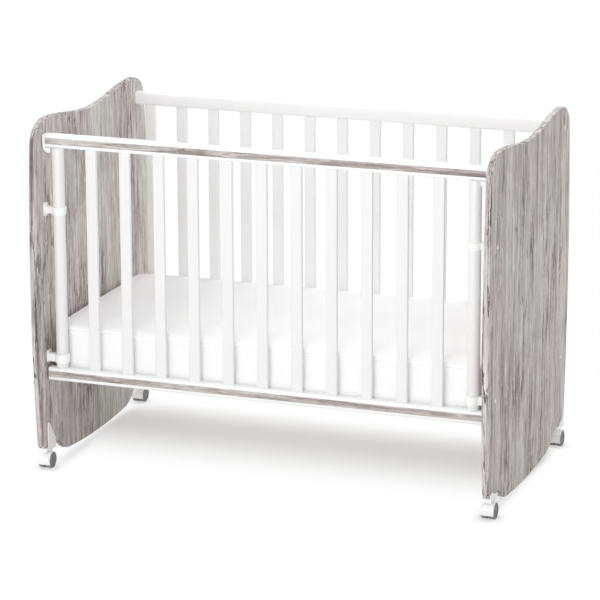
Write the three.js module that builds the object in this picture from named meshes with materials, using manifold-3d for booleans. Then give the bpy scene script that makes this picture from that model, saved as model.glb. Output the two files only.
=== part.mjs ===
// A crib with two wave-topped end panels on castors, a fixed barred back, and a barred front
// that slides down on its two round end bars. Millimetres, +Z up, the length along X, the
// front towards -Y, the floor at Z = 0.
import * as THREE from 'three';
import { mergeVertices } from 'three/addons/utils/BufferGeometryUtils.js';
import Module from 'manifold-3d';

const wasm = await Module();
wasm.setup();

// Clearances between pieces
const SEAT_GAP = 0.3;
const SLIDE_GAP = 0.4;
const MATTRESS_END_GAP = 5;
const MATTRESS_SIDE_GAP = 6;
const COLLAR_GAP = 1;
const BASE_GAP = 3;
const STOP_GAP = 2;

// Mattress, which sets the room between the end panels and between the rails
const MATTRESS = { length: 1200, width: 582, height: 124, corner: 42, crown: 4, drawIn: 5 };
const INNER_LENGTH = MATTRESS.length + 2 * MATTRESS_END_GAP;
const INNER_WIDTH = MATTRESS.width + 2 * MATTRESS_SIDE_GAP;

// Rails and bars
const RAIL_DEPTH = 27;
const RAIL_HEIGHT = 36;
const RAIL_ROUND = 7;
const RAIL_Y = (INNER_WIDTH + RAIL_DEPTH) / 2;
const RAIL_FACE_Y = RAIL_Y + RAIL_DEPTH / 2;
const SLAT_WIDTH = 30;
const SLAT_THICKNESS = 12;
const SLAT_ROUND = 3.5;
const MORTISE_DEPTH = 12;
const END_BAR_INSET = 40;
const BAR_SPACES = 12;
const BAR_PITCH = (INNER_LENGTH - 2 * END_BAR_INSET) / BAR_SPACES;

// Castors. The wheels, their hood and the bracket stand one above the other, and together
// they set the height of the level flats under the panel's corners
const WHEEL = {
  radius: 21,
  inner: 2.3,
  outer: 18.5,
  axle: 3,
  shoulder: 4,
  rim: 6,
  hub: 6,
  cap: 4,
  faceDepth: 2,
  capDepth: 0.5,
};
const HOOD = { gap: 1, wall: 2, halfWidth: 17, bottom: 13, web: 1.8, neck: 4.5, bossRadius: 10.4 };
const HOOD_RADIUS = WHEEL.radius + HOOD.gap + HOOD.wall;
const CASTOR_TRAIL = 10;
const SWIVEL_Z = WHEEL.radius + HOOD_RADIUS + HOOD.neck;
const STEM_RADIUS = 4;
const STEM_HEIGHT = 8;
const BRACKET = {
  sole: 11.5,
  reachOut: 40,
  reachIn: 22,
  wall: 3,
  round: 2,
  inner: { rise: 77.7, reachOut: 23, brow: 16, tipAt: 15, waist: -6, bend: 43, shoulder: 26 },
  outer: { rise: 24.7, reachOut: 40, brow: 8, tipAt: 24, waist: 4, bend: 13, shoulder: 8 },
};
const BRACKET_Z = SWIVEL_Z + SEAT_GAP;
const FLAT_Z = BRACKET_Z + BRACKET.sole + SEAT_GAP;

// Outline of an end panel, from its middle line outwards, with the reach of its curves
const PANEL_THICKNESS = 18;
const PANEL_X = (INNER_LENGTH + PANEL_THICKNESS) / 2;
const PANEL = {
  waist: RAIL_FACE_Y + 54,
  foot: RAIL_FACE_Y + 37,
  shoulder: RAIL_FACE_Y + 38,
  crest: 945,
  crestAt: RAIL_FACE_Y - 48,
  crestOut: 48,
  crestIn: 90,
  dip: 919,
  dipOut: 105,
  shoulderDrop: 62,
  shoulderUp: 40,
  cornerRise: 33,
  cornerIn: 3,
  flatFrom: RAIL_FACE_Y - 40,
  flatTo: RAIL_FACE_Y + 24,
  rocker: 10,
  rockerRise: 8,
  rockerTo: RAIL_FACE_Y - 134,
  sweepOut: 50,
  sweepUp: 6,
  sweepIn: 35,
  edgeRound: 4,
};
const CASTOR_Y = PANEL.flatTo - BRACKET.reachOut;

// Heights of the rails' middles
const FRONT_TOP_Z = PANEL.crest - 53;
const BACK_TOP_Z = PANEL.crest - 60;
const FRONT_BOTTOM_Z = 263;
const BACK_BOTTOM_Z = 253;

// The sliding front
const DROP_TRAVEL = 140;
const DROP_LIFT = 10;
const DROP_END_GAP = 3;
const CHEEK_CLEARANCE = 1;
const CAP = { wall: 7, drop: 15, round: 6, heel: 12 };
const INLAY_HEIGHT = 16;
const INLAY_THICKNESS = 1.4;
const INLAY_RECESS = 1.6;
const BAR_RADIUS = 16;
const BAR_CHAMFER = 1;
const TENON_RADIUS = 9;
const TENON_LENGTH = 14;

// Guides that carry the end bars. The upper ones stop the lowered front under its caps, and
// the lower ones stop the lifted front above its bottom rail
const BORE_RADIUS = BAR_RADIUS + SLIDE_GAP;
const COLLAR_BACK = RAIL_Y - MATTRESS.width / 2 - COLLAR_GAP;
const COLLAR_CHAMFER = 2;
const UPPER_COLLAR = { wall: 3.2, height: 21, lip: 4, lipWall: 2 };
const UPPER_PLATE = { width: 21, height: 37, round: 8, raise: 0 };
const UPPER_ARM = { width: 17, height: 19, round: 4 };
const LOWER_COLLAR = { wall: 4.2, height: 24, lip: 4, lipWall: 2.6 };
const LOWER_PLATE = { width: 25, height: 33, round: 6, raise: 2 };
const LOWER_ARM = { width: 21, height: 22, round: 3 };
const PLATE_THICKNESS = 4;
const CAP_BOTTOM_Z = FRONT_TOP_Z - RAIL_HEIGHT / 2 - CAP.drop;
const BOTTOM_RAIL_TOP_Z = FRONT_BOTTOM_Z + RAIL_HEIGHT / 2;
const UPPER_GUIDE_Z = CAP_BOTTOM_Z - DROP_TRAVEL - STOP_GAP - UPPER_COLLAR.height / 2;
const LOWER_GUIDE_Z = BOTTOM_RAIL_TOP_Z + DROP_LIFT + 2 * STOP_GAP + LOWER_COLLAR.height / 2;
const TONGUE = { length: 12, width: 10, height: 9, chamfer: 3, travel: 5 };

// Base under the mattress, its top level with that of the back's bottom rail
const BASE_TOP_Z = BACK_BOTTOM_Z + RAIL_HEIGHT / 2;
const BASE_LENGTH = INNER_LENGTH - 2 * BASE_GAP;
const BASE_WIDTH = INNER_WIDTH - 2 * BASE_GAP;
const BASE = { thickness: 12, round: 6, slot: 22, slotLength: 230, slots: 12 };
const CLEAT = { thickness: 18, height: 25, inset: 14 };

// Steps in each curve of the panel's outline and of the castor brackets' cheeks, and along,
// across and up the mattress
const PANEL_CURVE_STEPS = 10;
const CHEEK_CURVE_STEPS = 6;
const MATTRESS_STEPS = [24, 14, 4];

const X_AXIS = new THREE.Vector3(1, 0, 0);
const Y_AXIS = new THREE.Vector3(0, 1, 0);
const Z_AXIS = new THREE.Vector3(0, 0, 1);

const whiteLacquer = { color: '#f4f4f2', roughness: 0.38, metalness: 0 };
const whitePlastic = { color: '#f1f1ef', roughness: 0.45, metalness: 0 };
const woodPrint = { color: '#a39b95', roughness: 0.6, metalness: 0 };
const greyRubber = { color: '#6b6b6d', roughness: 0.75, metalness: 0 };
const mattressCloth = { color: '#f3f3f3', roughness: 0.95, metalness: 0 };
const paleBoard = { color: '#e2ddd2', roughness: 0.8, metalness: 0 };

// The two ends of the crib, with the way that each lies along X
const ENDS = [['left', -1], ['right', 1]];

const crib = new THREE.Group();
crib.name = 'crib';

function addPiece(parent, name, geometry, look, x = 0, y = 0, z = 0) {
  const mesh = new THREE.Mesh(geometry, new THREE.MeshStandardMaterial(look));
  mesh.name = name;
  mesh.position.set(x, y, z);
  parent.add(mesh);
  return mesh;
}

function addGroup(parent, x = 0, y = 0, z = 0) {
  const group = new THREE.Group();
  group.position.set(x, y, z);
  parent.add(group);
  return group;
}

// A shape drawn in two axes and drawn out along the third, centred on it
function drawnOut(shape, length, axis, bevel = 0, curveSegments = 2) {
  const geometry = new THREE.ExtrudeGeometry(shape, {
    depth: length - 2 * bevel,
    curveSegments,
    bevelEnabled: bevel > 0,
    bevelThickness: bevel,
    bevelSize: bevel,
    bevelOffset: -bevel,
    bevelSegments: 2,
  });
  geometry.translate(0, 0, bevel - length / 2);
  const turn = new THREE.Matrix4();
  if (axis === 'x') {
    turn.makeBasis(Y_AXIS, Z_AXIS, X_AXIS);
  }
  if (axis === 'y') {
    turn.makeBasis(X_AXIS, Z_AXIS, Y_AXIS.clone().negate());
  }
  return geometry.applyMatrix4(turn);
}

function roundedRectangle(width, height, round) {
  const x = width / 2 - round;
  const y = height / 2 - round;
  const shape = new THREE.Shape();
  shape.absarc(x, y, round, 0, Math.PI / 2);
  shape.absarc(-x, y, round, Math.PI / 2, Math.PI);
  shape.absarc(-x, -y, round, Math.PI, 1.5 * Math.PI);
  shape.absarc(x, -y, round, 1.5 * Math.PI, 2 * Math.PI);
  shape.closePath();
  return shape;
}

function box(x, y, z) {
  return new THREE.BoxGeometry(x, y, z);
}

function cylinder(radius, length, axis, segments = 24) {
  const geometry = new THREE.CylinderGeometry(radius, radius, length, segments);
  if (axis === 'x') {
    geometry.rotateZ(Math.PI / 2);
  }
  if (axis === 'z') {
    geometry.rotateX(Math.PI / 2);
  }
  return geometry;
}

function turned(profile, axis, segments = 24) {
  const points = profile.map(([radius, along]) => new THREE.Vector2(radius, along));
  const geometry = new THREE.LatheGeometry(points, segments);
  if (axis === 'z') {
    return geometry.rotateX(Math.PI / 2);
  }
  return geometry.rotateZ(-Math.PI / 2);
}

function toSolid(geometry, x = 0, y = 0, z = 0) {
  const bare = new THREE.BufferGeometry();
  bare.setAttribute('position', geometry.getAttribute('position').clone());
  bare.setIndex(geometry.index);
  bare.translate(x, y, z);
  const merged = mergeVertices(bare, 1e-4);
  const mesh = new wasm.Mesh({
    numProp: 3,
    vertProperties: new Float32Array(merged.getAttribute('position').array),
    triVerts: new Uint32Array(merged.index.array),
  });
  return new wasm.Manifold(mesh);
}

function toGeometry(solid) {
  const mesh = solid.getMesh();
  const geometry = new THREE.BufferGeometry();
  geometry.setAttribute('position', new THREE.BufferAttribute(mesh.vertProperties, 3));
  geometry.setIndex(new THREE.BufferAttribute(mesh.triVerts, 1));
  const faceted = geometry.toNonIndexed();
  faceted.computeVertexNormals();
  return faceted;
}

// End panel: a board with a waved top, bulging sides and a shallow rocker foot, whose
// corners are stepped up to a level flat for the castor brackets. Half of the outline is
// drawn, from the foot to the top, and the other half mirrors it
function panelShape() {
  const p = PANEL;
  const shoulderZ = p.crest - p.shoulderDrop;
  const cornerZ = FLAT_Z + p.cornerRise;
  const rockerEndZ = p.rocker + p.rockerRise;
  const bulge = 2 * p.waist - (p.foot + p.shoulder) / 2;
  const half = new THREE.Path();
  half.moveTo(0, p.rocker);
  half.quadraticCurveTo(p.rockerTo / 2, p.rocker, p.rockerTo, rockerEndZ);
  half.bezierCurveTo(
    p.rockerTo + p.sweepOut, rockerEndZ + p.sweepUp, p.flatFrom - p.sweepIn, FLAT_Z, p.flatFrom, FLAT_Z,
  );
  half.lineTo(p.flatTo, FLAT_Z);
  half.quadraticCurveTo(p.foot - p.cornerIn, FLAT_Z, p.foot, cornerZ);
  half.quadraticCurveTo(bulge, (shoulderZ + cornerZ) / 2, p.shoulder, shoulderZ);
  half.bezierCurveTo(
    p.shoulder - p.cornerIn, shoulderZ + p.shoulderUp, p.crestAt + p.crestOut, p.crest, p.crestAt, p.crest,
  );
  half.bezierCurveTo(p.crestAt - p.crestIn, p.crest, p.dipOut, p.dip, 0, p.dip);
  const points = half.getPoints(PANEL_CURVE_STEPS);
  const mirrored = points.slice(1, -1).map((point) => new THREE.Vector2(-point.x, point.y));
  return new THREE.Shape([...points, ...mirrored.reverse()]);
}

function addEndPanel(side, x) {
  const geometry = drawnOut(panelShape(), PANEL_THICKNESS, 'x', PANEL.edgeRound);
  addPiece(crib, `end_panel_${side}`, geometry, woodPrint, x);
}

// Rails: rounded bars of wood, mortised for the slats on the side that faces them
function slatX(number) {
  return -INNER_LENGTH / 2 + END_BAR_INSET + number * BAR_PITCH;
}

function railBlank(length) {
  return toSolid(drawnOut(roundedRectangle(RAIL_DEPTH, RAIL_HEIGHT, RAIL_ROUND), length, 'x'));
}

function mortised(rail, numbers, facing) {
  const width = SLAT_WIDTH + 2 * SEAT_GAP;
  const thickness = SLAT_THICKNESS + 2 * SEAT_GAP;
  const section = roundedRectangle(width, thickness, SLAT_ROUND + SEAT_GAP);
  const cutter = drawnOut(section, 2 * MORTISE_DEPTH, 'z', 0, 1);
  const z = facing * (RAIL_HEIGHT / 2);
  let cut = rail;
  for (const number of numbers) {
    cut = cut.subtract(toSolid(cutter, slatX(number), 0, z));
  }
  return cut;
}

function slat(length) {
  return drawnOut(roundedRectangle(SLAT_WIDTH, SLAT_THICKNESS, SLAT_ROUND), length, 'z', 0, 1);
}

function addSlats(parent, prefix, numbers, bottomRailZ, topRailZ) {
  const length = topRailZ - bottomRailZ - RAIL_HEIGHT + 2 * MORTISE_DEPTH;
  const z = (topRailZ + bottomRailZ) / 2;
  for (const [order, number] of numbers.entries()) {
    const label = String(order + 1).padStart(2, '0');
    addPiece(parent, `${prefix}_${label}`, slat(length), whiteLacquer, slatX(number), 0, z);
  }
}

function addBack() {
  const back = addGroup(crib, 0, RAIL_Y, 0);
  const numbers = [...Array(BAR_SPACES + 1).keys()];
  const top = mortised(railBlank(INNER_LENGTH), numbers, -1);
  const bottom = mortised(railBlank(INNER_LENGTH), numbers, 1);
  addPiece(back, 'back_top_rail', toGeometry(top), whiteLacquer, 0, 0, BACK_TOP_Z);
  addPiece(back, 'back_bottom_rail', toGeometry(bottom), whiteLacquer, 0, 0, BACK_BOTTOM_Z);
  addSlats(back, 'back_slat', numbers, BACK_BOTTOM_Z, BACK_TOP_Z);
}

// The drop side: two rails with printed strips let into their fronts, slats between two
// round end bars, and a moulded cap over each end of the top rail
function dropRail(length, numbers, facing) {
  const recess = box(2 * length, 2 * INLAY_RECESS, INLAY_HEIGHT + 2 * SEAT_GAP);
  let rail = mortised(railBlank(length), numbers, facing);
  rail = rail.subtract(toSolid(recess, 0, -RAIL_DEPTH / 2, 0));
  const socket = cylinder(TENON_RADIUS + SEAT_GAP, 2 * TENON_LENGTH, 'z');
  for (const number of [0, BAR_SPACES]) {
    rail = rail.subtract(toSolid(socket, slatX(number), 0, facing * (RAIL_HEIGHT / 2)));
  }
  return toGeometry(rail);
}

function endBar(length) {
  const half = length / 2;
  const tip = half + TENON_LENGTH;
  return turned([
    [0, -tip],
    [TENON_RADIUS, -tip],
    [TENON_RADIUS, -half],
    [BAR_RADIUS - BAR_CHAMFER, -half],
    [BAR_RADIUS, BAR_CHAMFER - half],
    [BAR_RADIUS, half - BAR_CHAMFER],
    [BAR_RADIUS - BAR_CHAMFER, half],
    [TENON_RADIUS, half],
    [TENON_RADIUS, tip],
    [0, tip],
  ], 'z');
}

// The cap closes the end of the rail and rounds down under it to the end bar.
// Drawn for the left end, from the outer end face (x = 0) inwards
function railCap() {
  const top = RAIL_HEIGHT / 2;
  const reach = END_BAR_INSET - DROP_END_GAP - BAR_RADIUS - SEAT_GAP;
  const shape = new THREE.Shape();
  shape.moveTo(CAP.round, top);
  shape.lineTo(CAP.wall, top);
  shape.lineTo(CAP.wall, -top - SEAT_GAP);
  shape.lineTo(reach, -top - SEAT_GAP);
  shape.lineTo(reach, -top - CAP.drop);
  shape.quadraticCurveTo(0, -top - CAP.drop, 0, CAP.heel - top);
  shape.lineTo(0, top - CAP.round);
  shape.quadraticCurveTo(0, top, CAP.round, top);
  const side = toSolid(drawnOut(shape, RAIL_DEPTH, 'y', 0, 6));
  const section = roundedRectangle(RAIL_DEPTH, RAIL_HEIGHT + CAP.drop, RAIL_ROUND);
  const envelope = toSolid(drawnOut(section, 4 * reach, 'x'), 0, 0, -CAP.drop / 2);
  return toGeometry(side.intersect(envelope));
}

function addDropSide() {
  const drop = addGroup(crib, 0, -RAIL_Y, 0);
  const numbers = [...Array(BAR_SPACES - 1).keys()].map((number) => number + 1);
  const outer = INNER_LENGTH - 2 * DROP_END_GAP;
  const topLength = outer - 2 * (CAP.wall + SEAT_GAP);
  const bottomLength = INNER_LENGTH - 2 * (SEAT_GAP + BRACKET.wall + CHEEK_CLEARANCE);
  const inlayY = -RAIL_DEPTH / 2 + INLAY_RECESS - INLAY_THICKNESS / 2;
  const barLength = FRONT_TOP_Z - FRONT_BOTTOM_Z - RAIL_HEIGHT;
  const barZ = (FRONT_TOP_Z + FRONT_BOTTOM_Z) / 2;
  addPiece(drop, 'drop_top_rail', dropRail(topLength, numbers, -1), whiteLacquer, 0, 0, FRONT_TOP_Z);
  addPiece(drop, 'drop_bottom_rail', dropRail(bottomLength, numbers, 1), whiteLacquer, 0, 0, FRONT_BOTTOM_Z);
  for (const [name, length, z] of [
    ['drop_top_inlay', topLength, FRONT_TOP_Z],
    ['drop_bottom_inlay', bottomLength, FRONT_BOTTOM_Z],
  ]) {
    addPiece(drop, name, box(length, INLAY_THICKNESS, INLAY_HEIGHT), woodPrint, 0, inlayY, z);
  }
  addSlats(drop, 'drop_slat', numbers, FRONT_BOTTOM_Z, FRONT_TOP_Z);
  for (const [side, sign] of ENDS) {
    addPiece(drop, `drop_end_bar_${side}`, endBar(barLength), whiteLacquer, -sign * slatX(0), 0, barZ);
    const capX = sign * (outer / 2);
    const cap = addPiece(drop, `rail_cap_${side}`, railCap(), whitePlastic, capX, 0, FRONT_TOP_Z);
    cap.rotation.z = sign > 0 ? Math.PI : 0;
  }
}

// Guides: an upright plate on the panel, an arm, and a collar round the end bar, flattened on the
// side that faces the mattress. Drawn for the left end, with the panel's face at x = 0.
// Inward is 1 or -1, the way along y to the mattress
function collar(form, inward) {
  const half = form.height / 2;
  const radius = BORE_RADIUS + form.wall;
  const lipRadius = BORE_RADIUS + form.lipWall;
  const ring = toSolid(turned([
    [0, -half],
    [lipRadius, -half],
    [lipRadius, form.lip - half],
    [radius, form.lip + COLLAR_CHAMFER / 2 - half],
    [radius, half - COLLAR_CHAMFER],
    [radius - COLLAR_CHAMFER, half],
    [0, half],
  ], 'z'), END_BAR_INSET, 0, 0);
  const behind = box(4 * radius, radius, 2 * form.height);
  return ring.subtract(toSolid(behind, END_BAR_INSET, inward * (COLLAR_BACK + radius / 2), 0));
}

function guidePlate(form) {
  const section = roundedRectangle(form.width, form.height, form.round);
  return toSolid(drawnOut(section, PLATE_THICKNESS, 'x', 0, 4), PLATE_THICKNESS / 2, 0, form.raise);
}

function guideArm(form) {
  const section = roundedRectangle(form.width, form.height, form.round);
  const start = PLATE_THICKNESS / 2;
  const reach = END_BAR_INSET - start;
  return toSolid(drawnOut(section, reach, 'x'), start + reach / 2, 0, 0);
}

function barBore() {
  return toSolid(cylinder(BORE_RADIUS, 3 * LOWER_COLLAR.height, 'z'), END_BAR_INSET, 0, 0);
}

function upperGuide(inward) {
  const ring = collar(UPPER_COLLAR, inward);
  return toGeometry(guidePlate(UPPER_PLATE).add(guideArm(UPPER_ARM)).add(ring).subtract(barBore()));
}

function lowerGuide(inward) {
  const start = tongueStart() - TONGUE.travel - 2 * SEAT_GAP;
  const length = END_BAR_INSET - start;
  const pocket = box(length, TONGUE.width + 2 * SEAT_GAP, TONGUE.height + 2 * SEAT_GAP);
  const ring = collar(LOWER_COLLAR, inward);
  const body = guidePlate(LOWER_PLATE).add(guideArm(LOWER_ARM)).add(ring).subtract(barBore());
  return toGeometry(body.subtract(toSolid(pocket, start + length / 2, 0, 0)));
}

// The sprung tongue in the lower guide that bears on the end bar and holds the front up
function tongueStart() {
  return END_BAR_INSET - BORE_RADIUS - SEAT_GAP - TONGUE.length;
}

function latchTongue() {
  const half = TONGUE.height / 2;
  const shape = new THREE.Shape();
  shape.moveTo(0, -half);
  shape.lineTo(TONGUE.length - TONGUE.chamfer, -half);
  shape.lineTo(TONGUE.length, TONGUE.chamfer - half);
  shape.lineTo(TONGUE.length, half);
  shape.lineTo(0, half);
  shape.closePath();
  return drawnOut(shape, TONGUE.width, 'y').translate(tongueStart(), 0, 0);
}

function addGuides(side, sign) {
  const inward = -sign;
  for (const [name, geometry, z] of [
    ['upper_guide', upperGuide(inward), UPPER_GUIDE_Z],
    ['lower_guide', lowerGuide(inward), LOWER_GUIDE_Z],
    ['latch_tongue', latchTongue(), LOWER_GUIDE_Z],
  ]) {
    const x = sign * (INNER_LENGTH / 2);
    const guide = addPiece(crib, `${name}_${side}`, geometry, whitePlastic, x, -RAIL_Y, z);
    guide.rotation.z = sign > 0 ? Math.PI : 0;
  }
}

// Castor bracket: a saddle that clips under the panel's corner, with a tall fin-shaped
// cheek inside the crib and a low one outside, each upright on the corner's side. Drawn for
// the left end, x = 0 at the middle of the panel's thickness, y = 0 on the castor's axis,
// z = 0 at the underside of its sole. Outward is 1 or -1, the way along y to the corner
function cheek(form, outward) {
  const shape = new THREE.Shape();
  shape.moveTo(-outward * BRACKET.reachIn, 0);
  shape.lineTo(outward * form.reachOut, 0);
  shape.lineTo(outward * form.reachOut, form.rise - form.brow);
  shape.quadraticCurveTo(outward * form.reachOut, form.rise, outward * form.tipAt, form.rise);
  shape.quadraticCurveTo(outward * form.waist, form.bend, -outward * BRACKET.reachIn, form.shoulder);
  shape.closePath();
  return drawnOut(shape, BRACKET.wall, 'x', 0, CHEEK_CURVE_STEPS);
}

function castorBracket(outward) {
  const slot = PANEL_THICKNESS / 2 + SEAT_GAP;
  const cheekX = slot + BRACKET.wall / 2;
  const length = BRACKET.reachOut + BRACKET.reachIn;
  const middle = outward * (BRACKET.reachOut - length / 2);
  const base = roundedRectangle(2 * (slot + BRACKET.wall), length, BRACKET.round);
  const inner = toSolid(cheek(BRACKET.inner, outward), cheekX, 0, 0);
  const outer = toSolid(cheek(BRACKET.outer, outward), -cheekX, 0, 0);
  const sole = toSolid(drawnOut(base, BRACKET.sole, 'z'), 0, middle, BRACKET.sole / 2);
  const stemHole = toSolid(cylinder(STEM_RADIUS + SEAT_GAP, 4 * BRACKET.sole, 'z'));
  return toGeometry(sole.add(inner).add(outer).subtract(stemHole));
}

// Castor hood: a round cover over both wheels on a middle web, with a boss and stem on the
// swivel axis. Its origin is on the swivel axis at the floor, and the axle trails it
function castorHood() {
  const width = 2 * HOOD.halfWidth;
  const cover = toSolid(cylinder(HOOD_RADIUS, width, 'x'), 0, CASTOR_TRAIL, WHEEL.radius);
  const bossHeight = SWIVEL_Z - WHEEL.radius;
  const boss = toSolid(cylinder(HOOD.bossRadius, bossHeight, 'z'), 0, 0, SWIVEL_Z - bossHeight / 2);
  const stem = toSolid(cylinder(STEM_RADIUS, 2 * STEM_HEIGHT, 'z'), 0, 0, SWIVEL_Z);
  const wheelRoom = cylinder(WHEEL.radius + HOOD.gap, width, 'x');
  const axleHole = toSolid(cylinder(WHEEL.axle + SEAT_GAP, width, 'x'), 0, CASTOR_TRAIL, WHEEL.radius);
  const below = toSolid(box(2 * width, 6 * HOOD_RADIUS, 2 * HOOD.bottom));
  let hood = cover.add(boss).add(stem);
  for (const sign of [-1, 1]) {
    hood = hood.subtract(toSolid(wheelRoom, sign * (HOOD.web + width / 2), CASTOR_TRAIL, WHEEL.radius));
  }
  return toGeometry(hood.subtract(axleHole).subtract(below));
}

// The two wheels of a castor on their axle, turned in one piece, with a sunk face inside
// the rim and a small cap on the hub
function wheelPair() {
  const face = WHEEL.outer - WHEEL.faceDepth;
  const capFace = WHEEL.outer - WHEEL.capDepth;
  const side = [
    [WHEEL.axle, WHEEL.inner],
    [WHEEL.radius, WHEEL.inner],
    [WHEEL.radius, WHEEL.outer - WHEEL.shoulder],
    [WHEEL.radius - WHEEL.shoulder, WHEEL.outer],
    [WHEEL.radius - WHEEL.rim, face],
    [WHEEL.hub, face],
    [WHEEL.cap, capFace],
    [0, capFace],
  ];
  const mirrored = side.map(([radius, along]) => [radius, -along]).reverse();
  return turned([...mirrored, ...side], 'x');
}

function addCastor(end, sign, row, rowSign) {
  const place = addGroup(crib, sign * PANEL_X, rowSign * CASTOR_Y, 0);
  place.rotation.z = rowSign > 0 ? 0 : Math.PI;
  const name = `${row}_${end}`;
  const outward = -sign * rowSign;
  const saddle = castorBracket(outward);
  const bracket = addPiece(place, `castor_bracket_${name}`, saddle, whitePlastic, 0, 0, BRACKET_Z);
  bracket.rotation.z = outward > 0 ? 0 : Math.PI;
  addPiece(place, `castor_hood_${name}`, castorHood(), whitePlastic);
  addPiece(place, `castor_wheels_${name}`, wheelPair(), greyRubber, 0, CASTOR_TRAIL, WHEEL.radius);
}

// Mattress: a block of foam with rounded corners, a slight crown on top, and sides drawn
// in between the two piped edges
function mattress() {
  const m = MATTRESS;
  const form = new THREE.BoxGeometry(2, 2, 2, ...MATTRESS_STEPS);
  const position = form.getAttribute('position');
  const halfLength = m.length / 2;
  const halfWidth = m.width / 2;
  const halfHeight = m.height / 2;
  for (let i = 0; i < position.count; i += 1) {
    const u = position.getX(i);
    const v = position.getY(i);
    const w = position.getZ(i);
    const edge = Math.max(Math.abs(u), Math.abs(v)) === 1;
    const inset = edge ? m.drawIn * (1 - w ** 4) : 0;
    let x = u * halfLength;
    let y = v * halfWidth;
    const overX = Math.abs(x) - (halfLength - m.corner);
    const overY = Math.abs(y) - (halfWidth - m.corner);
    if (overX > 0 && overY > 0) {
      const reach = Math.hypot(overX, overY);
      const scale = Math.max(overX, overY) / reach;
      x = Math.sign(x) * (halfLength - m.corner + overX * scale);
      y = Math.sign(y) * (halfWidth - m.corner + overY * scale);
    }
    const pull = 1 - inset / halfWidth;
    const crown = m.crown * Math.cos((u * Math.PI) / 2) * Math.cos((v * Math.PI) / 2);
    const z = w * halfHeight + (w > 0 ? w * crown : 0);
    position.setXYZ(i, x * (1 - inset / halfLength), y * pull, z);
  }
  form.computeVertexNormals();
  return form;
}

// Base: a ventilated board lying on a cleat at each end
function baseSlot(x, y) {
  const round = BASE.slot / 2;
  const reach = BASE.slotLength / 2 - round;
  const slot = new THREE.Path();
  slot.absarc(x, y + reach, round, 0, Math.PI);
  slot.absarc(x, y - reach, round, Math.PI, 2 * Math.PI);
  slot.closePath();
  return slot;
}

function mattressBase() {
  const board = roundedRectangle(BASE_LENGTH, BASE_WIDTH, BASE.round);
  const pitch = BASE_LENGTH / BASE.slots;
  for (let column = 0; column < BASE.slots; column += 1) {
    const x = (column + 0.5) * pitch - BASE_LENGTH / 2;
    board.holes.push(baseSlot(x, -BASE_WIDTH / 4), baseSlot(x, BASE_WIDTH / 4));
  }
  return drawnOut(board, BASE.thickness, 'z');
}

function addBedding() {
  addPiece(crib, 'mattress', mattress(), mattressCloth, 0, 0, BASE_TOP_Z + MATTRESS.height / 2);
  addPiece(crib, 'mattress_base', mattressBase(), paleBoard, 0, 0, BASE_TOP_Z - BASE.thickness / 2);
  const cleat = box(CLEAT.thickness, BASE_WIDTH - 2 * CLEAT.inset, CLEAT.height);
  const z = BASE_TOP_Z - BASE.thickness - CLEAT.height / 2;
  for (const [side, sign] of ENDS) {
    const x = sign * (INNER_LENGTH - CLEAT.thickness) * 0.5;
    addPiece(crib, `base_cleat_${side}`, cleat, whiteLacquer, x, 0, z);
  }
}

for (const [side, sign] of ENDS) {
  addEndPanel(side, sign * PANEL_X);
  addGuides(side, sign);
  addCastor(side, sign, 'front', -1);
  addCastor(side, sign, 'rear', 1);
}
addBack();
addDropSide();
addBedding();

export default crib;
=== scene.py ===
import math

import bmesh
import bpy
from mathutils import Matrix, Vector, noise


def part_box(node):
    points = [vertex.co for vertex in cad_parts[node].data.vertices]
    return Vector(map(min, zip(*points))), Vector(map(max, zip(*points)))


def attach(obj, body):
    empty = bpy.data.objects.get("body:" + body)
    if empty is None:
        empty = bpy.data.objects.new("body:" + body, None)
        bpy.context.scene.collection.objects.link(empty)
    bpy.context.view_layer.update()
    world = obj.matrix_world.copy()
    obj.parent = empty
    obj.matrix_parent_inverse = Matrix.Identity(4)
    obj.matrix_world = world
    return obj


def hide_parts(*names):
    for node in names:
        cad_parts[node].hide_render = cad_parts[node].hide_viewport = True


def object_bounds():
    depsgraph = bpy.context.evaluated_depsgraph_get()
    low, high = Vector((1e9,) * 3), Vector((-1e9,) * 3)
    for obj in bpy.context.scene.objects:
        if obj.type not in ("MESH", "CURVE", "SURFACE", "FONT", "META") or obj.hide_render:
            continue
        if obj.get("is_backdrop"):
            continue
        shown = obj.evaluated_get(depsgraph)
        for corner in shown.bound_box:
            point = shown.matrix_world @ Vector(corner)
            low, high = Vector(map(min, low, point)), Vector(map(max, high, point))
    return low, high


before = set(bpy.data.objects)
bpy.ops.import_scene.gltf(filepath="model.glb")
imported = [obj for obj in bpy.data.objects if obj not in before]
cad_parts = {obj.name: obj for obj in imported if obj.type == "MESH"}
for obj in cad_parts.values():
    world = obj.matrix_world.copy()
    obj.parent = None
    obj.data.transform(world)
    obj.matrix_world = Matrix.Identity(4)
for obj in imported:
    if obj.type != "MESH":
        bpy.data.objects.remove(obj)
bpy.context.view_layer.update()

MM = 0.001


# End panels. Each is one 18 mm board with a waved top and a shallow rocker foot, its edges
# rounded over, and covered all over with a weathered wood print whose grain runs upright.
# They stand on the castors and carry the rails, the guides and the base.
class Field:
    """A value or colour that changes over a surface. Maths on it adds Math nodes."""

    def __init__(self, finish, socket):
        self.finish = finish
        self.socket = socket

    def math(self, operation, left, right):
        return self.finish.node("ShaderNodeMath", {"operation": operation}, {0: left, 1: right})

    def __add__(self, other):
        return self.math("ADD", self, other)

    def __radd__(self, other):
        return self.math("ADD", other, self)

    def __sub__(self, other):
        return self.math("SUBTRACT", self, other)

    def __rsub__(self, other):
        return self.math("SUBTRACT", other, self)

    def __mul__(self, other):
        return self.math("MULTIPLY", self, other)

    def __rmul__(self, other):
        return self.math("MULTIPLY", other, self)


def set_stops(elements, stops):
    while len(elements) < len(stops):
        elements.new(1)
    for element, (position, tone) in zip(elements, stops):
        element.position = position
        element.color = tone


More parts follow.
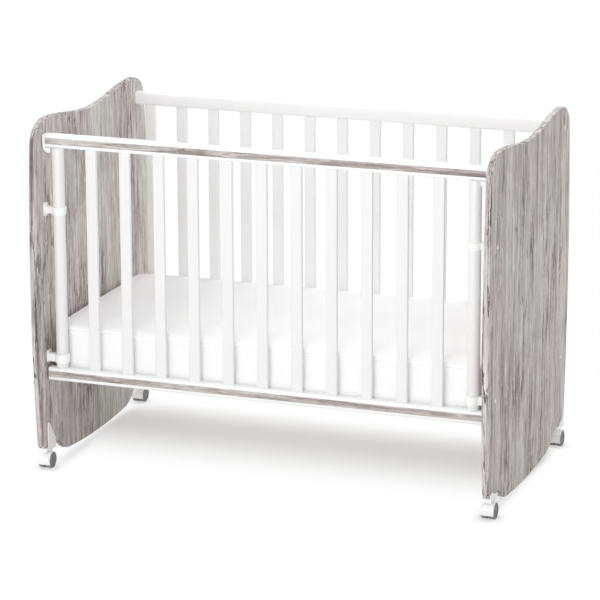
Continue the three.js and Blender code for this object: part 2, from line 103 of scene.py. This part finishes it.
class Finish:
    """One material: its node tree, and the ways in which its nodes are added."""

    def __init__(self, name):
        self.material = bpy.data.materials.new(name)
        self.material.use_nodes = True
        self.tree = self.material.node_tree
        self.shader = self.tree.nodes["Principled BSDF"]

    def node(self, kind, settings=None, sockets=None, output=0):
        made = self.tree.nodes.new(kind)
        for name, value in (settings or {}).items():
            if name == "stops":
                set_stops(made.color_ramp.elements, value)
            else:
                setattr(made, name, value)
        for name, value in (sockets or {}).items():
            self.feed(made.inputs[name], value)
        return Field(self, made.outputs[output])

    def feed(self, socket, value):
        if isinstance(value, Field):
            self.tree.links.new(value.socket, socket)
        else:
            socket.default_value = value

    def surface(self, sockets):
        for name, value in sockets.items():
            self.feed(self.shader.inputs[name], value)

    def place(self):
        return self.node("ShaderNodeTexCoord", output="Object")

    def math(self, operation, value):
        return self.node("ShaderNodeMath", {"operation": operation}, {0: value})

    def grain(self, place, across, along, detail=2.0, roughness=0.5, output=0):
        """Noise drawn out along Z, with its features counted to the metre."""
        drawn = self.node("ShaderNodeMapping", {}, {"Vector": place, "Scale": (across, across, along)})
        sockets = {"Vector": drawn, "Scale": 1.0, "Detail": detail, "Roughness": roughness}
        return self.node("ShaderNodeTexNoise", {}, sockets, output)

    def shift(self, place, noise, reach):
        """Moves a place by a colour noise, by up to about half of reach each way."""
        return self.node(
            "ShaderNodeVectorMath", {"operation": "MULTIPLY_ADD"}, {0: noise, 1: reach, 2: place}
        )

    def ramp(self, value, stops):
        return self.node("ShaderNodeValToRGB", {"stops": stops}, {0: value})

    def step(self, value, low, high):
        """0 below low and 1 above high, eased between."""
        return self.node(
            "ShaderNodeMapRange",
            {"interpolation_type": "SMOOTHSTEP"},
            {"Value": value, "From Min": low, "From Max": high},
        )

    def mix(self, factor, first, second, blend="MIX"):
        settings = {"data_type": "RGBA", "blend_type": blend}
        return self.node("ShaderNodeMix", settings, {0: factor, 6: first, 7: second}, 2)

    def bump(self, height, distance, strength=1.0):
        return self.node(
            "ShaderNodeBump", {}, {"Height": height, "Distance": distance, "Strength": strength}
        )


def colour(red, green, blue):
    """A colour as it looks on a screen, from 0 to 255, turned into the linear one of a shader."""
    shares = [level / 255 for level in (red, green, blue)]
    linear = [s / 12.92 if s <= 0.04045 else ((s + 0.055) / 1.055) ** 2.4 for s in shares]
    return (*linear, 1.0)


SWAY_REACH = (18 * MM, 18 * MM, 0)
JITTER_REACH = (8 * MM, 8 * MM, 0)
CRACK_WIDTH = (0.010, 0.034)
VEIN_WIDTH = (0.006, 0.024)
LAYER_SHARE = 0.7
EDGE_SHADE = 0.13
# Heights over which the painted highlight on the rounded edges fades from its strongest low down.
EDGE_HIGHLIGHT_HEIGHTS = (0.35, 0.7)
PRINT_RELIEF = 0.3 * MM
CRACK_BROWN = colour(92, 82, 80)
GREEN_GREY = colour(246, 249, 245)
# Pale for the print's veins, and for the painted highlight on edges and top faces.
PALE_VEIN_AND_HIGHLIGHT = colour(230, 226, 224)
PRINT_TONES = (
    (0.20, colour(118, 108, 106)),
    (0.36, colour(154, 144, 143)),
    (0.50, colour(184, 175, 174)),
    (0.64, colour(204, 197, 195)),
    (0.82, colour(224, 219, 217)),
)


def wood_print(name, turn, squeeze, depth, edge_wear_and_light):
    """The printed foil: swaying streaks in two tints and jagged dark cracks, drawn darker along the
    rounded edges, with painted highlight on those edges and on faces turned up.
    """
    foil = Finish(name)
    place = foil.node(
        "ShaderNodeMapping", {}, {"Vector": foil.place(), "Rotation": turn, "Scale": squeeze}
    )
    sway = foil.grain(place, across=9, along=2.5, output="Color")
    wavy = foil.shift(place, sway, SWAY_REACH)
    jitter = foil.grain(place, across=90, along=60, output="Color")
    ragged = foil.shift(wavy, jitter, JITTER_REACH)
    bands = foil.grain(wavy, across=10, along=1.1)
    streaks = foil.grain(ragged, across=32, along=4.2, detail=5, roughness=0.7)
    lines = foil.grain(wavy, across=95, along=1.1, detail=3, roughness=0.6)
    fine = foil.grain(ragged, across=120, along=20, detail=3, roughness=0.65)
    rough = foil.step(foil.grain(wavy, across=8, along=2.6), 0.44, 0.58)
    ridge = foil.math("ABSOLUTE", foil.grain(ragged, across=26, along=2.6, detail=3) - 0.5)
    broken = foil.step(fine, 0.36, 0.52)
    facing = foil.node("ShaderNodeTexCoord", output="Normal")
    across = foil.math("ABSOLUTE", foil.node("ShaderNodeSeparateXYZ", {}, {0: facing}))
    # Faces turned up get painted highlight.
    painted_top_highlight = foil.step(foil.node("ShaderNodeSeparateXYZ", {}, {0: facing}, "Z"), 0.3, 0.9)
    edge = (1 - foil.step(across, 0.75, 0.98)) * edge_wear_and_light
    cracks = (1 - foil.step(ridge, *CRACK_WIDTH)) * broken * (0.25 + rough * 0.75 + edge)
    vein = foil.math("ABSOLUTE", foil.grain(ragged, across=21, along=1.8, detail=3) - 0.46)
    pale = (1 - foil.step(vein, *VEIN_WIDTH)) * broken
    pores = foil.grain(wavy, across=420, along=30)
    shade = streaks + bands * LAYER_SHARE + lines * LAYER_SHARE + fine * LAYER_SHARE - edge * EDGE_SHADE
    tone = foil.ramp(shade - depth, PRINT_TONES)
    tone = foil.mix(foil.step(bands, 0.49, 0.62), tone, GREEN_GREY, "MULTIPLY")
    height = foil.node("ShaderNodeSeparateXYZ", {}, {0: foil.place()}, "Z")
    # Painted highlight along the rounded edges, stronger low down, and on faces turned up, mixed in with
    # the print's pale veins.
    lower = 1 - foil.step(height, *EDGE_HIGHLIGHT_HEIGHTS)
    painted_edge_highlight = edge * foil.step(streaks, 0.4, 0.6) * (0.05 + lower * 0.5) + painted_top_highlight * 0.2 * edge_wear_and_light
    tone = foil.mix(painted_edge_highlight + pale * 0.45, tone, PALE_VEIN_AND_HIGHLIGHT)
    tone = foil.mix(foil.step(pores, 0.5, 0.75) * 0.25, tone, CRACK_BROWN)
    tone = foil.mix(cracks * 0.75, tone, CRACK_BROWN)
    relief = 1 - cracks * 0.7 - foil.step(pores, 0.5, 0.7) * 0.3
    foil.surface({
        "Base Color": tone,
        "Roughness": 0.48 + cracks * 0.2,
        "Normal": foil.bump(relief, PRINT_RELIEF, 0.5),
    })
    return foil


SHARP_TURN = math.radians(35)
FLAT_TURN = math.radians(0.5)
WELD = 0.02 * MM


def smooth(mesh):
    """Shades a mesh smooth apart from its sharp edges."""
    mesh.shade_smooth()
    mesh.set_sharp_from_angle(angle=SHARP_TURN)


def joined_copy(node, name):
    """A CAD node's shape with its loose triangles joined into whole faces."""
    mesh = bpy.data.meshes.new(name)
    bm = bmesh.new()
    bm.from_mesh(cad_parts[node].data)
    bmesh.ops.remove_doubles(bm, verts=bm.verts, dist=WELD)
    bmesh.ops.dissolve_limit(bm, angle_limit=FLAT_TURN, verts=bm.verts, edges=bm.edges)
    bm.to_mesh(mesh)
    bm.free()
    mesh.attributes.remove(mesh.attributes["custom_normal"])
    smooth(mesh)
    return mesh


def add_piece(name, mesh, finish, body, slot, *nodes):
    """Puts a mesh into the scene, in its finish, in place of the CAD nodes that are named."""
    piece = bpy.data.objects.new(name, mesh)
    bpy.context.scene.collection.objects.link(piece)
    mesh.materials.append(finish.material)
    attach(piece, body)
    if nodes:
        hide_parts(*nodes)


upright_print = wood_print(
    "upright_wood_print", turn=(0, 0, 0), squeeze=(2.4, 1, 1), depth=0.965, edge_wear_and_light=1.0
)
for end in ("left", "right"):
    panel = joined_copy(f"end_panel_{end}", f"{end}_end_panel")
    add_piece(f"{end}_end_panel", panel, upright_print, "frame", "wood_print", f"end_panel_{end}")


# Bolt caps. The rails and the guides are bolted through the panels, and a domed white cap of
# moulded plastic is pressed over the head of each bolt on the panel's outer face.
CAP_RADIUS = 5 * MM
CAP_RISE = 1.6 * MM
CAP_STEPS = 24
POLE_WELD = 0.001 * MM
PLASTIC_RELIEF = 0.05 * MM


def white_plastic(name):
    """Moulded plastic: nearly even, with a faint mottle in its tone and gloss."""
    plastic = Finish(name)
    mottle = plastic.grain(plastic.place(), across=60, along=60, detail=3)
    fine = plastic.grain(plastic.place(), across=900, along=900)
    plastic.surface({
        "Base Color": plastic.mix(mottle, colour(250, 250, 250), colour(246, 246, 246)),
        "Roughness": 0.34 + mottle * 0.12,
        "Normal": plastic.bump(fine, PLASTIC_RELIEF, 0.3),
    })
    return plastic


def turned(name, profile, centre, axis, steps=48):
    """A profile of (radius, distance along the axis) turned about an axis through centre."""
    bm = bmesh.new()
    verts = [bm.verts.new((radius, 0, along)) for radius, along in profile]
    edges = [bm.edges.new(pair) for pair in zip(verts, verts[1:])]
    bmesh.ops.spin(
        bm, geom=verts + edges, cent=(0, 0, 0), axis=(0, 0, 1), angle=math.tau, steps=steps,
        use_merge=True, use_duplicate=False,
    )
    bmesh.ops.remove_doubles(bm, verts=bm.verts, dist=POLE_WELD)
    bmesh.ops.recalc_face_normals(bm, faces=bm.faces)
    turn = Vector((0, 0, 1)).rotation_difference(Vector(axis)).to_matrix().to_4x4()
    bmesh.ops.transform(bm, matrix=Matrix.Translation(centre) @ turn, verts=bm.verts)
    mesh = bpy.data.meshes.new(name)
    bm.to_mesh(mesh)
    bm.free()
    smooth(mesh)
    return mesh


def middle(node):
    low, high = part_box(node)
    return (low + high) / 2


plastic = white_plastic("white_plastic")
dome = [
    (0, -CAP_RISE),
    (CAP_RADIUS, -CAP_RISE),
    (CAP_RADIUS, 0.2 * CAP_RISE),
    (0.85 * CAP_RADIUS, 0.7 * CAP_RISE),
    (0.5 * CAP_RADIUS, 0.94 * CAP_RISE),
    (0, CAP_RISE),
]
for end, side in (("left", -1), ("right", 1)):
    low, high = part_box(f"end_panel_{end}")
    face = high.x if side > 0 else low.x
    for what, node in (
        ("top_rail", "back_top_rail"),
        ("bottom_rail", "back_bottom_rail"),
        ("upper_guide", "upper_guide_left"),
        ("lower_guide", "lower_guide_left"),
    ):
        carried = middle(node)
        front = middle("drop_end_bar_left").y
        seat = Vector((face, carried.y if what.endswith("rail") else front, carried.z))
        cap = turned(f"bolt_cap_{what}_{end}", dome, seat, (side, 0, 0), CAP_STEPS)
        add_piece(cap.name, cap, plastic, "frame", "white_plastic")


# Fixed back. Two rounded rails run between the panels, and flat slats with rounded corners are
# let into them. All of it is wood under a satin white lacquer.
SLAT_ROUND = 3.5 * MM
LACQUER_RELIEF = 0.08 * MM


def white_lacquer(name, clear, clouded):
    """Satin lacquer over wood: white, with a faint trace of grain under it."""
    lacquer = Finish(name)
    cloud = lacquer.grain(lacquer.place(), across=7, along=3)
    trace = lacquer.grain(lacquer.place(), across=260, along=12, detail=3)
    lacquer.surface({
        "Base Color": lacquer.mix(cloud, clear, clouded),
        "Roughness": 0.3 + trace * 0.16,
        "Normal": lacquer.bump(trace, LACQUER_RELIEF, 0.35),
    })
    return lacquer


def slat(name, low, high):
    """A flat bar with its four upright edges rounded."""
    bm = bmesh.new()
    size = high - low
    seat = Matrix.Translation((low + high) / 2) @ Matrix.Diagonal((*size, 1))
    bmesh.ops.create_cube(bm, size=1, matrix=seat)
    upright = [e for e in bm.edges if abs(e.verts[0].co.z - e.verts[1].co.z) > size.z / 2]
    bmesh.ops.bevel(
        bm, geom=upright, offset=SLAT_ROUND, affect="EDGES", segments=5, profile=0.5, material=-1
    )
    mesh = bpy.data.meshes.new(name)
    bm.to_mesh(mesh)
    bm.free()
    smooth(mesh)
    return mesh


def add_slats(prefix, count, finish, body):
    for number in range(1, count + 1):
        node = f"{prefix}_{number:02d}"
        bar = slat(f"{node}_bar", *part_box(node))
        add_piece(bar.name, bar, finish, body, "white_lacquer", node)


# The lighter copy of the lacquer, painted light, for the back, all four rails and the cleats.
lacquer = white_lacquer("white_lacquer", colour(250, 250, 250), colour(245, 245, 245))
for level in ("top", "bottom"):
    rail = joined_copy(f"back_{level}_rail", f"back_{level}_rail_bar")
    add_piece(rail.name, rail, lacquer, "frame", "white_lacquer", f"back_{level}_rail")
add_slats("back_slat", 13, lacquer, "frame")


# Drop side. The same rails and slats, with a strip of the wood print let into the front of
# each rail, a round bar at each end, and a moulded cap over each end of the top rail. Its
# slats and bars take a darker copy of the lacquer, which is painted shade.
TENON_RADIUS = 9 * MM
TENON_LENGTH = 14 * MM
BAR_CHAMFER = 1 * MM
BAR_EASE = 0.3 * BAR_CHAMFER

# A darker copy of the lacquer, painted shade, for the drop side's slats and end bars.
painted_shade_lacquer = white_lacquer("painted_shade_lacquer", colour(239, 239, 239), colour(234, 234, 234))
strip_print = wood_print(
    "lengthwise_wood_print", turn=(0, math.pi / 2, 0), squeeze=(1, 1, 2), depth=1.07, edge_wear_and_light=0.0
)
for level in ("top", "bottom"):
    rail = joined_copy(f"drop_{level}_rail", f"drop_{level}_rail_bar")
    add_piece(rail.name, rail, lacquer, "drop_side", "white_lacquer", f"drop_{level}_rail")
    strip = joined_copy(f"drop_{level}_inlay", f"drop_{level}_strip")
    add_piece(strip.name, strip, strip_print, "drop_side", "wood_print", f"drop_{level}_inlay")
add_slats("drop_slat", 11, painted_shade_lacquer, "drop_side")
for end in ("left", "right"):
    node = f"drop_end_bar_{end}"
    low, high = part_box(node)
    radius = (high.y - low.y) / 2
    tip = (high.z - low.z) / 2
    shoulder = tip - TENON_LENGTH
    half = [
        (0, tip),
        (TENON_RADIUS, tip),
        (TENON_RADIUS, shoulder),
        (radius - BAR_CHAMFER, shoulder),
        (radius - BAR_EASE, shoulder - BAR_EASE),
        (radius, shoulder - BAR_CHAMFER),
    ]
    profile = half + [(r, -along) for r, along in reversed(half)]
    bar = turned(f"{end}_end_bar", profile, middle(node), (0, 0, 1))
    add_piece(bar.name, bar, painted_shade_lacquer, "drop_side", "white_lacquer", node)
    cap = joined_copy(f"rail_cap_{end}", f"{end}_rail_cap")
    add_piece(cap.name, cap, plastic, "drop_side", "white_plastic", f"rail_cap_{end}")


# Guides. White moulded plastic: each has an upright plate bolted to the panel, an arm, and a
# ring that the end bar slides through. A sprung tongue in the lower one holds the side up.
for end in ("left", "right"):
    for level in ("upper", "lower"):
        guide = joined_copy(f"{level}_guide_{end}", f"{end}_{level}_guide")
        add_piece(guide.name, guide, plastic, "frame", "white_plastic", f"{level}_guide_{end}")
    tongue = joined_copy(f"latch_tongue_{end}", f"{end}_latch_tongue")
    add_piece(tongue.name, tongue, plastic, f"latch_{end}", "white_plastic", f"latch_tongue_{end}")


# Castors. A white saddle clips under each corner of a panel and takes the stem of a hooded
# castor, whose two grey wheels share one axle.
WHEEL_RADIUS = 21 * MM
WHEEL_INNER = 2.3 * MM
WHEEL_OUTER = 18.5 * MM
INNER_EASE = 0.6 * MM
TYRE_ROUND = 3 * MM
RIM_RADIUS = 15.5 * MM
RIM_EASE = 0.5 * MM
FACE_DEPTH = 1.6 * MM
AXLE_RADIUS = 3 * MM
HUB_RADIUS = 5 * MM
HUB_EASE = 0.8 * MM
HUB_EDGE_SET_BACK = 0.5 * MM
HUB_TIP_SET_BACK = 0.3 * MM
RUBBER_RELIEF = 0.12 * MM


def grey_rubber(name):
    """Dull grey tyre rubber with dust in its pores."""
    rubber = Finish(name)
    dust = rubber.grain(rubber.place(), across=220, along=220, detail=4)
    scuff = rubber.step(rubber.grain(rubber.place(), across=60, along=60, detail=3), 0.5, 0.7)
    tone = rubber.mix(dust, colour(128, 128, 130), colour(146, 146, 147))
    rubber.surface({
        "Base Color": rubber.mix(scuff * 0.35, tone, colour(160, 159, 158)),
        "Roughness": 0.62 + dust * 0.2,
        "Normal": rubber.bump(dust, RUBBER_RELIEF, 0.5),
    })
    return rubber


def wheel_profile():
    """Half of the wheel pair, from the axle at its middle out to the cap of the hub."""
    face = WHEEL_OUTER - FACE_DEPTH
    half = [(AXLE_RADIUS, WHEEL_INNER), (WHEEL_RADIUS - INNER_EASE, WHEEL_INNER)]
    half.append((WHEEL_RADIUS, WHEEL_INNER + INNER_EASE))
    for share in (0, 0.25, 0.5, 0.75, 1):
        angle = share * math.pi / 2
        radius = WHEEL_RADIUS - TYRE_ROUND + TYRE_ROUND * math.cos(angle)
        half.append((radius, WHEEL_OUTER - TYRE_ROUND + TYRE_ROUND * math.sin(angle)))
    half += [(RIM_RADIUS + RIM_EASE, WHEEL_OUTER), (RIM_RADIUS, face), (HUB_RADIUS, face)]
    half.append((HUB_RADIUS - HUB_EASE, WHEEL_OUTER - HUB_EDGE_SET_BACK))
    half.append((0, WHEEL_OUTER - HUB_TIP_SET_BACK))
    return half


rubber = grey_rubber("grey_rubber")
half = wheel_profile()
pair = [(r, -along) for r, along in reversed(half)] + half
for row in ("front", "rear"):
    for end in ("left", "right"):
        corner = f"{row}_{end}"
        bracket = joined_copy(f"castor_bracket_{corner}", f"{corner}_bracket")
        add_piece(bracket.name, bracket, plastic, "frame", "white_plastic", f"castor_bracket_{corner}")
        hood = joined_copy(f"castor_hood_{corner}", f"{corner}_hood")
        add_piece(hood.name, hood, plastic, f"castor_{corner}", "white_plastic", f"castor_hood_{corner}")
        node = f"castor_wheels_{corner}"
        wheels = turned(f"{corner}_wheels", pair, middle(node), (1, 0, 0))
        add_piece(wheels.name, wheels, rubber, f"wheels_{corner}", "grey_rubber", node)


# Base. A thin coated board, pale and dull, with ventilation slots cut through it. It rests on a
# lacquered wooden cleat fixed to the inside of each panel.
BOARD_RELIEF = 0.1 * MM


def pale_board(name):
    """Thin coated board: an even pale grey-white with fibres just showing."""
    board = Finish(name)
    fibre = board.grain(board.place(), across=180, along=180, detail=4)
    board.surface({
        "Base Color": board.mix(fibre, colour(232, 228, 221), colour(220, 215, 206)),
        "Roughness": 0.6 + fibre * 0.2,
        "Normal": board.bump(fibre, BOARD_RELIEF, 0.4),
    })
    return board


for node, finish in (
    ("mattress_base", pale_board("pale_board")),
    ("base_cleat_left", lacquer),
    ("base_cleat_right", lacquer),
):
    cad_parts[node].material_slots[0].material = finish.material


# Mattress. A foam block in a close white knitted cover. The cover's top panel is rolled over the
# edge of the foam and stitched down in a seam round the sides. It is inflated a little as cloth,
# from a start that makes up for what the voxels take off, and kept in the space that it has.
VOXEL = 9 * MM
START_GROWTH = Vector((4.5, 5, -4)) * MM
RIM_ANGLE = math.radians(45)
EDGE_ROUND = 9 * MM
HELD_HEIGHT = 2 * MM
CLOTH_FRAMES = 20
CLOTH_PRESSURE = 4
SWELL = 4.5 * MM
PULL_SHARE = 0.1
RIPPLES = 7
RIPPLE_HEIGHT = 1.2 * MM
SEAM_DROP = 24 * MM
SEAM_HALF = 3.5 * MM
SEAM_DEPTH = 3.5 * MM
CUT_GAP = 0.01 * MM
FOOT_HEIGHT = 25 * MM
FOOT_DEPTH = 12 * MM
FOOT_PROUD = 0.5 * SWELL
RING_FROM = 495 * MM
RING_TO = 530 * MM
KNIT_SCALE = 150.0
KNIT_RELIEF = 0.15 * MM


def mattress_cloth(name):
    """A close white knit: fine ribs both ways and a soft sheen."""
    cloth = Finish(name)
    place = cloth.place()
    rib = {"wave_type": "BANDS", "bands_direction": "X"}
    row = {"wave_type": "BANDS", "bands_direction": "Y"}
    along = cloth.node("ShaderNodeTexWave", rib, {"Vector": place, "Scale": KNIT_SCALE})
    across = cloth.node("ShaderNodeTexWave", row, {"Vector": place, "Scale": KNIT_SCALE})
    cloud = cloth.grain(place, across=6, along=6, detail=3)
    cloth.surface({
        "Base Color": cloth.mix(cloud, colour(252, 252, 252), colour(249, 249, 249)),
        "Roughness": 0.86 + along * 0.08,
        "Sheen Weight": 0.2,
        "Normal": cloth.bump(along * across, KNIT_RELIEF, 0.4),
    })
    return cloth


def apply_modifiers(piece):
    """Makes a piece's modifiers part of its mesh."""
    depsgraph = bpy.context.evaluated_depsgraph_get()
    made = bpy.data.meshes.new_from_object(piece.evaluated_get(depsgraph))
    piece.modifiers.clear()
    piece.data = made


cover_finish = mattress_cloth("mattress_cloth")
low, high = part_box("mattress")
centre = (low + high) / 2
reach = (high - low) / 2
cover_mesh = bpy.data.meshes.new("mattress_cover")
bm = bmesh.new()
bm.from_mesh(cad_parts["mattress"].data)
bmesh.ops.remove_doubles(bm, verts=bm.verts, dist=WELD)
for vert in bm.verts:
    vert.co.x *= 1 + START_GROWTH.x / reach.x
    vert.co.y *= 1 + START_GROWTH.y / reach.y
    vert.co.z = low.z + (vert.co.z - low.z) * (1 + START_GROWTH.z / (high.z - low.z))
rim = [
    edge for edge in bm.edges
    if edge.calc_face_angle() > RIM_ANGLE and max(v.co.z for v in edge.verts) > centre.z
]
bmesh.ops.bevel(
    bm, geom=rim, offset=EDGE_ROUND, affect="EDGES", segments=3, profile=0.5, material=-1,
    clamp_overlap=True,
)
bm.to_mesh(cover_mesh)
bm.free()
cover_mesh.attributes.remove(cover_mesh.attributes["custom_normal"])
cover = bpy.data.objects.new("mattress_cover", cover_mesh)
bpy.context.scene.collection.objects.link(cover)
remesh = cover.modifiers.new("voxels", "REMESH")
remesh.mode = "VOXEL"
remesh.voxel_size = VOXEL
apply_modifiers(cover)
begin = [vert.co.copy() for vert in cover.data.vertices]
outward = [vert.normal.copy() for vert in cover.data.vertices]
held = cover.vertex_groups.new(name="held")
held.add([v.index for v in cover.data.vertices if v.co.z < low.z + HELD_HEIGHT], 1.0, "REPLACE")
cloth = cover.modifiers.new("cover", "CLOTH")
cloth.settings.use_pressure = True
cloth.settings.uniform_pressure_force = CLOTH_PRESSURE
cloth.settings.effector_weights.gravity = 0
cloth.settings.vertex_group_mass = "held"
cloth.point_cache.frame_start = 1
cloth.point_cache.frame_end = CLOTH_FRAMES
for moment in range(1, CLOTH_FRAMES + 1):
    bpy.context.scene.frame_set(moment)
apply_modifiers(cover)
for vert, was, normal in zip(cover.data.vertices, begin, outward):
    move = vert.co - was
    if move.dot(normal) < 0:
        move *= PULL_SHARE
    if move.length > SWELL:
        move *= SWELL / move.length
    vert.co = was + move
    ripple = noise.noise(vert.co * RIPPLES) * RIPPLE_HEIGHT
    vert.co.z += ripple * (vert.co.z - low.z) / (high.z - low.z)
    if vert.co.z < low.z + FOOT_HEIGHT and abs(vert.co.y) > reach.y - FOOT_DEPTH:
        vert.co.y = math.copysign(reach.y + FOOT_PROUD, vert.co.y)
    by_ring = min(max((abs(vert.co.x) - RING_FROM) / (RING_TO - RING_FROM), 0), 1)
    limit = reach.y + (1 - by_ring) * FOOT_PROUD
    vert.co.y = min(max(vert.co.y, -limit), limit)
    vert.co.x = min(max(vert.co.x, -reach.x), reach.x)
finer = cover.modifiers.new("finer", "SUBSURF")
finer.levels = 1
finer.render_levels = 1
apply_modifiers(cover)

bm = bmesh.new()
bm.from_mesh(cover.data)
seam = high.z - SEAM_DROP
for share in (-1, -0.5, 0, 0.5, 1):
    geom = bm.verts[:] + bm.edges[:] + bm.faces[:]
    level = (0, 0, seam + share * SEAM_HALF)
    bmesh.ops.bisect_plane(bm, geom=geom, dist=CUT_GAP, plane_co=level, plane_no=(0, 0, 1))
bm.normal_update()
for vert in bm.verts:
    share = abs(vert.co.z - seam) / SEAM_HALF
    if share < 1:
        inward = -Vector((vert.normal.x, vert.normal.y, 0)).normalized()
        vert.co += inward * SEAM_DEPTH * (1 - share ** 2) ** 2
bm.to_mesh(cover.data)
bm.free()
cover.data.name = "mattress_cover"
cover.data.shade_smooth()
cover.data.materials.clear()
cover.data.materials.append(cover_finish.material)
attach(cover, "mattress")
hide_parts("mattress")


# Floor. A wide white floor that keeps the crib's shadow as a soft band between the panels, and
# a touch of it under the panels and at each castor. Rays from the camera, in gloss and through
# clear things see the rest plain white.
FLOOR_HALF = 40
SHADOW_FRONT = -0.234
SHADOW_DARKEST = 0.204
SHADOW_BACK = 0.36
SHADOW_SHARE = 0.79
CONTACT_SHARE = 0.4
CONTACT_ALONG = (0.56, 0.6)
CONTACT_ACROSS = (0.32, 0.38)
CASTOR_SHARE = 0.5
CASTOR_REACH = (0.015, 0.045)
SHADOW_END = (0.6, 0.64)
PAPER_WHITE = (0.9, 0.9, 0.9, 1)
PLAIN_WHITE = (1, 1, 1, 1)

ground = Finish("pale_floor")
place = ground.place()
along = ground.math("ABSOLUTE", ground.node("ShaderNodeSeparateXYZ", {}, {0: place}))
depth = ground.node("ShaderNodeSeparateXYZ", {}, {0: place}, "Y")
band = ground.step(depth, SHADOW_FRONT, SHADOW_DARKEST) - ground.step(depth, SHADOW_DARKEST, SHADOW_BACK)
across = ground.math("ABSOLUTE", depth)
contact = ground.step(along, *CONTACT_ALONG) * CONTACT_SHARE
contact = contact - contact * ground.step(across, *CONTACT_ACROSS)
fullest = ground.node("ShaderNodeMath", {"operation": "MAXIMUM"}, {0: band * SHADOW_SHARE, 1: contact})
share = fullest - fullest * ground.step(along, *SHADOW_END)
castor = middle("castor_bracket_rear_right")
aside = along - castor.x
ahead = across - castor.y
away = ground.step(aside * aside + ahead * ahead, *(r ** 2 for r in CASTOR_REACH))
spot = CASTOR_SHARE - away * CASTOR_SHARE
share = ground.node("ShaderNodeMath", {"operation": "MAXIMUM"}, {0: share, 1: spot})
watched = ground.node("ShaderNodeLightPath", output="Is Camera Ray")
for ray in ("Is Glossy Ray", "Is Transmission Ray"):
    watched = watched + ground.node("ShaderNodeLightPath", output=ray)
white = ground.node("ShaderNodeEmission", {}, {"Color": PLAIN_WHITE, "Strength": 1.0})
paper = ground.node("ShaderNodeBsdfDiffuse", {}, {"Color": PAPER_WHITE})
blend = ground.node("ShaderNodeMixShader", {}, {0: watched * (1 - share), 1: paper, 2: white})
ground.tree.links.new(blend.socket, ground.tree.nodes["Material Output"].inputs["Surface"])

bm = bmesh.new()
bmesh.ops.create_grid(bm, x_segments=1, y_segments=1, size=FLOOR_HALF)
floor_mesh = bpy.data.meshes.new("floor")
bm.to_mesh(floor_mesh)
bm.free()
floor = bpy.data.objects.new("floor", floor_mesh)
bpy.context.scene.collection.objects.link(floor)
floor_mesh.materials.append(ground.material)
floor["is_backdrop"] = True


# Light. An even pale room, with a large soft lamp in front and softer ones high on the left
# and high behind.
ROOM_STRENGTH = 0.65
LAMP_SIZE = 2

world = bpy.data.worlds.new("pale_room")
bpy.context.scene.world = world
world.use_nodes = True
room = world.node_tree.nodes["Background"]
room.inputs["Color"].default_value = PLAIN_WHITE
room.inputs["Strength"].default_value = ROOM_STRENGTH
for name, spot, target, watts in (
    ("front", (0.3, -4.0, 1.8), (0, 0, 0.5), 56),
    ("high_left", (-2.5, 0, 3.0), (0, 0, 0.4), 33),
    ("high_back", (0, 2.4, 3.0), (0, 0, 0.4), 42),
):
    lamp = bpy.data.lights.new(name, "AREA")
    lamp.size = LAMP_SIZE
    lamp.energy = watts
    holder = bpy.data.objects.new(name, lamp)
    bpy.context.scene.collection.objects.link(holder)
    holder.location = spot
    holder.rotation_euler = (Vector(target) - Vector(spot)).to_track_quat("-Z", "Y").to_euler()


# Camera. Placed by fitting it to the bars, rails, panel outlines and castors of the
# photograph: a long lens a little to the right and above, with a slight tilt.
LENS = 181.4
SENSOR = 36
SPOT = (2.6526, -7.2884, 2.5475)
YAW = math.radians(20.077)
PITCH = math.radians(15.231)
TILT = math.radians(-0.168)
FAR = 200

view = bpy.data.cameras.new("camera")
view.lens = LENS
view.sensor_width = SENSOR
view.clip_end = FAR
camera = bpy.data.objects.new("camera", view)
bpy.context.scene.collection.objects.link(camera)
heading = Matrix.Rotation(YAW, 4, "Z")
lean = Matrix.Rotation(math.pi / 2 - PITCH, 4, "X")
aim = heading @ lean @ Matrix.Rotation(TILT, 4, "Z")
camera.matrix_world = Matrix.Translation(SPOT) @ aim
bpy.context.scene.camera = camera
bpy.context.scene.view_settings.view_transform = "Standard"

low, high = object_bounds()
